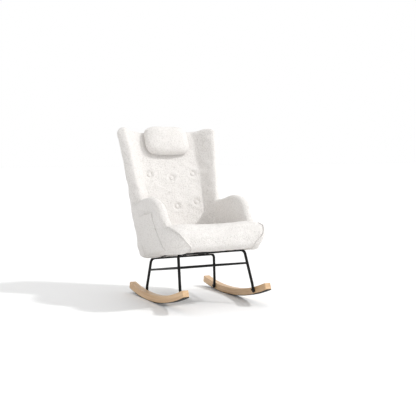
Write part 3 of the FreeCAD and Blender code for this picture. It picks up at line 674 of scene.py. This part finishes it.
def lathe(name, profile, place, axis, sides=40):
    """A turned shape: profile is (radius, height) pairs from the rim to the middle of the top."""
    turn = Vector(axis).to_track_quat("Z", "Y").to_matrix()
    verts, faces = [], []
    for radius, height in profile:
        for k in range(sides):
            angle = 2 * math.pi * k / sides
            verts.append(Vector(place) + turn @ Vector((radius * math.cos(angle),
                                                        radius * math.sin(angle), height)))
    for r in range(len(profile) - 1):
        for k in range(sides):
            n = (k + 1) % sides
            faces.append((r * sides + k, r * sides + n, (r + 1) * sides + n, (r + 1) * sides + k))
    faces.append(tuple((len(profile) - 1) * sides + k for k in range(sides)))
    faces.append(tuple(reversed(range(sides))))
    mesh = bpy.data.meshes.new(name)
    mesh.from_pydata([tuple(v) for v in verts], [], faces)
    mesh.update()
    return new_object(name, mesh)


BUTTON_R = 0.0145
BUTTON_TALL = 0.0085
button_profile = [(BUTTON_R * 0.82, -0.003)]
button_profile += [(BUTTON_R * math.cos(a) ** 0.8, BUTTON_TALL * math.sin(a))
                   for a in np.linspace(0, math.pi / 2 * 0.97, 9)]
for index, place in enumerate(sorted(button_places, key=lambda p: (round(p.z, 2), p.x))):
    seat_place, _, _, _ = shell_surface.ray_cast(place + back_out * 0.1, -back_out)
    button = lathe("button_%d" % (index + 1), button_profile, seat_place, back_out)
    finish_piece(button, "chair", "boucle", cloth_piping,
                 stands_for=["tufting_buttons"] if index == 0 else ())

# ------------------------------------------------------------------ the seat: deck and front roll
ROLL_MIDDLE_AHEAD = 0.055
roll_middle = Vector((0, roll_high.y - ROLL_MIDDLE_AHEAD, (roll_low.z + roll_high.z) / 2))
PIPING_R = 0.0038
PIPING_PROUD = 0.0030
SEAT_VOXEL = 0.007
SEAT_ROUNDS = 26
SEAT_PUFF = 0.010              # the cover may swell this far, but not on its underside
SEAT_PROUD = 0.0035
SEAM_TUCK = 0.010
# The end seam of the roll, as shares of the half width, depth and height of the roll's box.
END_SEAM = ((0.985, 1.00, 0.885), (0.985, 0.62, 0.97), (0.983, 0.40, 0.915), (0.90, 0.09, 0.75),
            (0.835, 0.0, 0.57), (0.76, 0.02, 0.42), (0.685, 0.12, 0.31), (0.62, 0.30, 0.17))


def roll_place(share_x, share_y, share_z, side):
    size = roll_high - roll_low
    return Vector((side * share_x * roll_high.x, roll_low.y + share_y * size.y,
                   roll_low.z + share_z * size.z))


seam_lines = {}
for side in (-1, 1):
    rough = through([roll_place(*share, side) for share in END_SEAM], 70)
    seam_lines[side] = [snapped(shell_surface, p, PIPING_PROUD) for p in rough]


def roll_angle(y, z):
    """Turn about the roll's middle, from its top rear round the front to its underside."""
    return np.arctan2(z - roll_middle.z, roll_middle.y - y)


def seam_reach(y, z):
    """Half width of the seat cover at a place round the roll."""
    line = np.array([tuple(p) for p in seam_lines[1]])
    angles = roll_angle(line[:, 1], line[:, 2])
    order = np.argsort(angles)
    return np.interp(roll_angle(y, z), angles[order], line[order, 0])


def tucked_into_seam(points):
    """Hold the seat cover within the roll's end seams, and turn its edge in toward the roll."""
    reach = seam_reach(points[:, 1], points[:, 2])
    over = np.abs(points[:, 0]) - reach
    beyond = (points[:, 1] < roll_high.y + 0.02) & (over > 0)
    points[:, 0] = np.where(beyond, np.sign(points[:, 0]) * reach, points[:, 0])
    toward = np.array([roll_middle.y, roll_middle.z]) - points[:, 1:]
    toward /= np.maximum(np.linalg.norm(toward, axis=1, keepdims=True), 1e-6)
    points[:, 1:] += toward * np.where(beyond, np.minimum(over, SEAM_TUCK), 0)[:, None]
    return points


seat = remeshed(joined_copy("seat_cushion", "seat_pad", "front_roll", "seat_front_rail",
                            "seat_side_rail_left", "seat_side_rail_right"), SEAT_VOXEL)
soften(seat, SEAT_ROUNDS)
points, _ = arrays(seat.data)
underside = RAIL_LINE[1] - SEAT_FALL * (points[:, 1] - CONTACT_Y - RAIL_LINE[0])
puffed(seat, 4.0, (SEAT_PUFF * ramp_between(points[:, 2] - underside, 0.015, 0.07))[:, None])
subdivided(seat)
points, _ = arrays(seat.data)
push(seat, SEAT_PROUD + 0.0010 * grain(points, 50, 5) + 0.0006 * grain(points, 120, 6))
store(seat.data, tucked_into_seam(arrays(seat.data)[0]))
finish_piece(seat, "chair", "boucle", stands_for=["seat_pad", "front_roll"])
for side, word in ((-1, "left"), (1, "right")):
    piping = line_mesh("roll_piping_" + word, seam_lines[side], PIPING_R)
    finish_piece(piping, "chair", "boucle", cloth_piping)

# ------------------------------------------------------------------ headrest pillow
pillow_centre, pillow_half = block_of("headrest_pillow", back_up, back_out)
PILLOW_CORNER = 4.0           # how square the pillow's outline is
PILLOW_SEAM_R = 0.0028
PILLOW_SEAM_BACK = 0.42       # how far behind its middle the pillow's seam lies, as a share
PILLOW_NARROW = 0.955         # stuffing draws the sides in
PILLOW_REAR = 0.84            # it is flatter where it faces the back
PILLOW_TALLER = 0.002
PILLOW_RAISED = 0.012
PILLOW_AROUND, PILLOW_RINGS = 144, 36


def pillow_point(angle, ring, side):
    """A point on the pillow: angle round its outline, ring from middle to seam, side +1 front."""
    c, s = math.cos(angle), math.sin(angle)
    size = (abs(c) ** PILLOW_CORNER + abs(s) ** PILLOW_CORNER) ** (-1 / PILLOW_CORNER)
    full = (1 - ring ** 3.2) ** 0.5
    deep = pillow_half[2] * (side + PILLOW_SEAM_BACK) * (1 if side > 0 else PILLOW_REAR)
    return (pillow_centre + Vector((c * size * pillow_half[0] * PILLOW_NARROW * ring, 0, 0))
            + back_up * (s * size * (pillow_half[1] + PILLOW_TALLER) * ring + PILLOW_RAISED)
            + back_out * (deep * full - PILLOW_SEAM_BACK * pillow_half[2]))


def pillow_mesh():
    around = PILLOW_AROUND
    levels = [math.sin(math.pi / 2 * (k + 1) / PILLOW_RINGS) for k in range(PILLOW_RINGS)]
    verts = [tuple(pillow_point(0, 0, 1))]
    loops = [(level, 1) for level in levels] + [(level, -1) for level in reversed(levels[:-1])]
    for level, side in loops:
        verts += [tuple(pillow_point(2 * math.pi * k / around, level, side))
                  for k in range(around)]
    verts.append(tuple(pillow_point(0, 0, -1)))
    faces = [(0, 1 + k, 1 + (k + 1) % around) for k in range(around)]
    for r in range(len(loops) - 1):
        a, b = 1 + r * around, 1 + (r + 1) * around
        faces += [(a + k, b + k, b + (k + 1) % around, a + (k + 1) % around)
                  for k in range(around)]
    last, end = 1 + (len(loops) - 1) * around, len(verts) - 1
    faces += [(last + k, end, last + (k + 1) % around) for k in range(around)]
    mesh = bpy.data.meshes.new("headrest")
    mesh.from_pydata(verts, [], faces)
    mesh.update()
    return new_object("headrest", mesh)


pillow = pillow_mesh()
points, _ = arrays(pillow.data)
push(pillow, 0.0012 * grain(points, 40, 8) + 0.0006 * grain(points, 110, 9))
finish_piece(pillow, "headrest", "boucle", stands_for=["headrest_pillow"])
rim = [pillow_point(2 * math.pi * k / 160, 1.0, 1) for k in range(160)]
rim_cord = line_mesh("headrest_piping", rim, PILLOW_SEAM_R, closed=True)
finish_piece(rim_cord, "headrest", "boucle", cloth_piping)

# ------------------------------------------------------------------ strap and counterweight pouch
STRAP_THICK = 0.0016
STRAP_ROWS = 90
STRAP_MIDDLE = 4               # the middle point of each row of nine


def ends_of_strap():
    """The strap's front end, its two turns over the top edge, and its rear end."""
    points, _ = arrays(nodes["headrest_strap"].data)
    top = points[points[:, 2] > points[:, 2].max() - 0.001]
    rear = points[points[:, 2] < points[:, 2].min() + 0.001]
    return [Vector(row) * Vector((0, 1, 1)) for row in
            (points[points[:, 1].argmin()], top[top[:, 1].argmin()], top[top[:, 1].argmax()],
             rear[rear[:, 1].argmax()])]


strap_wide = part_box("headrest_strap")[1].x
corners = ends_of_strap()
lengths = [(q - p).length for p, q in zip(corners, corners[1:])]
marks = np.concatenate([[0], np.cumsum(lengths)])
line = np.array([tuple(p) for p in corners])
middle_line = [[np.interp(s, marks, line[:, k]) for k in range(3)]
               for s in np.linspace(0, marks[-1], STRAP_ROWS)]
strap_aside = np.linspace(-strap_wide, strap_wide, 2 * STRAP_MIDDLE + 1)
strap_rows = [[snapped(shell_surface, (x, y, z), 0.0022 if z > 0.9 else 0.0016) for x in strap_aside]
              for _, y, z in middle_line]
strap = grid_mesh("headrest_strap_tape", strap_rows)
soften(strap, 3)
thickened(strap, STRAP_THICK)
finish_piece(strap, "chair", "strap_cloth", stands_for=["headrest_strap"])

POUCH_VOXEL = 0.0035
POUCH_ROUNDS = 12
POUCH_PUFF = 0.004
FLAP_R = 0.0014
pouch_centre, pouch_half = block_of("counterweight_pouch", rear_up, rear_out)
pouch = remeshed(joined_copy("counterweight_case", "counterweight_pouch", "counterweight_bar"),
                 POUCH_VOXEL)
soften(pouch, POUCH_ROUNDS)
puffed(pouch, 3.0, POUCH_PUFF)
finish_piece(pouch, "counterweight", "boucle", stands_for=["counterweight_pouch"])
pouch_surface = surface_of(pouch)


def on_pouch(share_x, share_up):
    return (pouch_centre + Vector((share_x * pouch_half[0], 0, 0))
            + rear_up * (share_up * pouch_half[1]) + rear_out * pouch_half[2])


flap_corners = ((-0.9, 0.86), (-0.9, 0.1), (-0.55, -0.1), (0.55, -0.1), (0.9, 0.1), (0.9, 0.86))
flap_edge = [snapped(pouch_surface, p, 0.0005)
             for p in through([on_pouch(*c) for c in flap_corners], 60)]
flap = line_mesh("pouch_flap_edge", flap_edge, FLAP_R)
finish_piece(flap, "counterweight", "boucle", cloth_piping)

# ------------------------------------------------------------------ side pockets
POCKET_THICK = 0.0016
POCKET_SLACK = 0.0105          # how far the mouth stands open at its middle
POCKET_FULL = 0.0022           # how far the pocket's middle is rounded out
POCKET_SEWN = 0.0018           # its sewn edges are sunk this far into the cover
POCKET_STEP = 0.0025           # and it steps up by this within two grid places
SEAM_DEEP, SEAM_WIDE = 0.0022, 0.006
HEM_R = 0.0034
POCKET_GRID = 44


def pocket_edges(node):
    """The pocket's four edges in (y, z), each given as a function of a share from 0 to 1."""
    points, _ = arrays(nodes[node].data)
    lean = np.abs(points[:, 0]) - SIDE_LEAN * points[:, 2]
    face = np.unique(np.round(points[lean > lean.max() - 0.0005][:, 1:], 4), axis=0)
    rear_top, front_top = face[face[:, 0].argmax()], face[face[:, 1].argmax()]
    rear_low, front_low = face[face[:, 1].argmin()], face[face[:, 0].argmin()]
    seam = [p for p in face if not any((p == c).all() for c in (rear_top, front_top, rear_low,
                                                              front_low))]
    seam = [front_low, *sorted(seam, key=lambda p: p[1]), front_top]
    seam = [(p.y, p.z) for p in through([(0, *p) for p in seam], POCKET_GRID)]

    def line(a, b):
        return lambda t: np.array(a) * (1 - t) + np.array(b) * t

    def front(t):
        return np.array(seam[round(t * (POCKET_GRID - 1))])

    return line(rear_low, front_low), line(rear_top, front_top), line(rear_low, rear_top), front


def pocket_rows(node, side):
    """Grid points on the pocket, from its base up to its mouth."""
    base, mouth, rear, front = pocket_edges(node)
    corners = base(0), base(1), mouth(0), mouth(1)
    shares = np.linspace(0, 1, POCKET_GRID)
    rows = []
    for v in shares:
        row = []
        for u in shares:
            flat = ((1 - v) * base(u) + v * mouth(u) + (1 - u) * rear(v) + u * front(v)
                    - (1 - u) * (1 - v) * corners[0] - u * (1 - v) * corners[1]
                    - (1 - u) * v * corners[2] - u * v * corners[3])
            place, normal, _, _ = shell_surface.ray_cast(Vector((side, flat[0], flat[1])),
                                                         Vector((-side, 0, 0)))
            slack = POCKET_SLACK * max(0, math.sin(math.pi * u)) ** 0.7 * v ** 2
            swell = POCKET_FULL * math.sin(math.pi * u) * math.sin(math.pi * v)
            step = POCKET_STEP * min(1, min(u, 1 - u, v) * POCKET_GRID / 2)
            row.append(place + normal * (slack + swell + step - POCKET_SEWN))
        rows.append(row)
    return rows


def groove(obj, line, deep, wide):
    """Press a seam into a surface along a line."""
    points, _ = arrays(obj.data)
    line = np.array([tuple(p) for p in line])
    low, high = line.min(0) - 3 * wide, line.max(0) + 3 * wide
    near = np.nonzero(((points > low) & (points < high)).all(1))[0]
    gaps = np.sqrt(((points[near][:, None] - line[None]) ** 2).sum(2).min(1))
    normals = normals_of(obj.data)
    points[near] -= normals[near] * (deep * np.exp(-(gaps / wide) ** 2))[:, None]
    store(obj.data, points)


for side, word in ((-1, "left"), (1, "right")):
    rows = pocket_rows("side_pocket_" + word, side)
    if side > 0:
        rows = [list(reversed(row)) for row in rows]
    rear_side, front_side = ([row[k] for row in rows] for k in ((0, -1) if side < 0 else (-1, 0)))
    groove(shell, rear_side + list(rows[0]) + front_side, SEAM_DEEP, SEAM_WIDE)
    pocket = grid_mesh("pocket_" + word, rows)
    thickened(pocket, POCKET_THICK, 1.0)
    hem = line_mesh("pocket_hem_" + word, rows[-1], HEM_R)
    finish_piece(hem, "chair", "boucle", cloth_piping)
    finish_piece(pocket, "chair", "boucle", stands_for=["side_pocket_" + word])

# ------------------------------------------------------------------ seam round the rear panel
panel_low, panel_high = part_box("rear_panel")
REAR_PIPING_R = 0.0026
REAR_PIPING_PROUD = 0.0006
# The seam as shares of the panel's half width and height: up one side, over the top and down.
rear_seam = ((-1, 0.03), (-1, 0.45), (-1, 0.90), (-0.93, 0.955), (-0.5, 0.955), (0, 0.945),
             (0.5, 0.955), (0.93, 0.955), (1, 0.90), (1, 0.45), (1, 0.03))
rough = through([Vector((share_x * panel_high.x, 0,
                         panel_low.z + share_z * (panel_high.z - panel_low.z)))
                 for share_x, share_z in rear_seam], 220)
rear_line = []
for point in rough:
    place, normal, _, _ = shell_surface.ray_cast(Vector((point.x, 2, point.z)), Vector((0, -1, 0)))
    rear_line.append(place + normal * REAR_PIPING_PROUD)
rear_piping = line_mesh("rear_panel_piping", rear_line, REAR_PIPING_R)
finish_piece(rear_piping, "chair", "boucle", cloth_piping)

# ------------------------------------------------------------------ camera, floor and light
SHADE_SIDE = 0.62              # brightness of the studio on the side away from the key light
BRIGHT_SIDE = (0.95, 0.31, 0)  # the way to the studio's bright side
KEY_TRAVELS = (-0.82, 0.52, -0.85)
KEY_POWER = 1.62

CAMERA_LENS = 66.98
CAMERA_PLACE = (-1.978, -4.0999 + CONTACT_Y, 0.870)
CAMERA_DOWN, CAMERA_TURN = 4.35, 27.22         # degrees below level, and to the right of +Y
FLOOR_PAINT = (0.93, 0.93, 0.93, 1)

camera_data = bpy.data.cameras.new("camera")
camera_data.lens = CAMERA_LENS
camera = bpy.data.objects.new("camera", camera_data)
camera.location = CAMERA_PLACE
camera.rotation_euler = (math.radians(90 - CAMERA_DOWN), 0, -math.radians(CAMERA_TURN))
scene.collection.objects.link(camera)
scene.camera = camera


def floor_and_light():
    """A pale floor without a far edge, an even studio with one dimmer side, and one soft sun."""
    bpy.ops.mesh.primitive_plane_add(size=60, location=(0, 0, 0))
    floor = bpy.context.object
    floor.name = "floor"
    paint = Shader("pale_floor")
    paint.set(Roughness=0.85)
    paint.surface.inputs["Base Color"].default_value = FLOOR_PAINT
    floor.data.materials.append(paint.material)

    world = bpy.data.worlds.new("studio")
    scene.world = world
    world.use_nodes = True
    tree = world.node_tree
    toward = tree.nodes.new("ShaderNodeVectorMath")
    toward.operation = "DOT_PRODUCT"
    toward.inputs[1].default_value = BRIGHT_SIDE
    ramp = tree.nodes.new("ShaderNodeValToRGB")
    dim, bright = ramp.color_ramp.elements
    dim.position, bright.position = 0.05, 0.55
    dim.color = (SHADE_SIDE, SHADE_SIDE, SHADE_SIDE, 1)
    share = tree.nodes.new("ShaderNodeMath")
    share.operation = "MULTIPLY_ADD"
    share.inputs[1].default_value = share.inputs[2].default_value = 0.5
    tree.links.new(tree.nodes.new("ShaderNodeTexCoord").outputs["Generated"], toward.inputs[0])
    tree.links.new(toward.outputs["Value"], share.inputs[0])
    tree.links.new(share.outputs[0], ramp.inputs[0])
    tree.links.new(ramp.outputs[0], tree.nodes["Background"].inputs["Color"])
    scene.view_settings.view_transform = "Standard"

    key = bpy.data.lights.new("key", "SUN")
    key.energy = KEY_POWER
    key.angle = math.radians(5)
    lamp = bpy.data.objects.new("key", key)
    lamp.rotation_euler = Vector(KEY_TRAVELS).to_track_quat("-Z", "Y").to_euler()
    scene.collection.objects.link(lamp)


floor_and_light()
